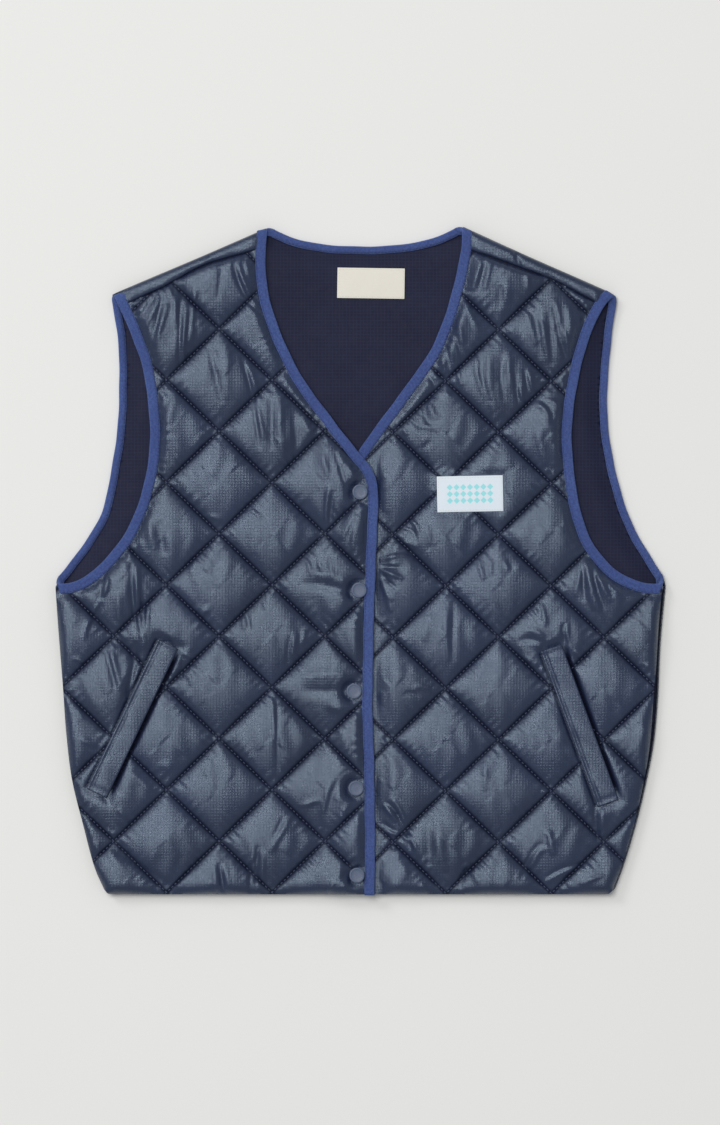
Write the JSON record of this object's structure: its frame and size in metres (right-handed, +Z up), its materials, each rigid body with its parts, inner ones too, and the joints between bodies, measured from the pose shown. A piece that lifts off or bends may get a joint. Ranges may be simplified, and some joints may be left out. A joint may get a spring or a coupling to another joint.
{
  "type": "quilted vest",
  "caption": "Boxy diamond-quilted vest laid flat, front up: V neck, snap front that overlaps, slanted welt pockets and contrast bias binding on neck, front edges and armholes",
  "frame": {"origin": "centre of the outline on the surface that the vest lies on", "axes": "+X to the right as seen from above with the front up, +Y towards the neck, +Z up from the surface"},
  "size_m": [0.5626, 0.616, 0.0209],
  "materials": {
    "shell_ripstop": "smooth shiny navy nylon ripstop over padding",
    "lining_ripstop": "dull dark navy ripstop with a fine square grid",
    "bias_tape": "matte blue cotton twill tape, cut on the bias",
    "snap_enamel": "matte slate-blue enamelled metal cap",
    "patch_label": null,
    "woven_label": "cream woven taffeta, bare"
  },
  "bodies": {
    "root": {"back_panel": "lining_ripstop", "front_panel_over": "shell_ripstop", "front_panel_under": "shell_ripstop", "binding_front_over": "bias_tape", "binding_front_under": "bias_tape", "binding_armhole_front_left": "bias_tape", "binding_armhole_front_right": "bias_tape", "binding_armhole_back_left": "bias_tape", "binding_armhole_back_right": "bias_tape", "binding_neck_back": "bias_tape", "snap_cap_1": "snap_enamel", "snap_cap_2": "snap_enamel", "snap_cap_3": "snap_enamel", "snap_cap_4": "snap_enamel", "snap_cap_5": "snap_enamel", "pocket_welt_left": "shell_ripstop", "pocket_welt_right": "shell_ripstop", "chest_label": "patch_label", "neck_label": "woven_label"}
  },
  "joints": []
}
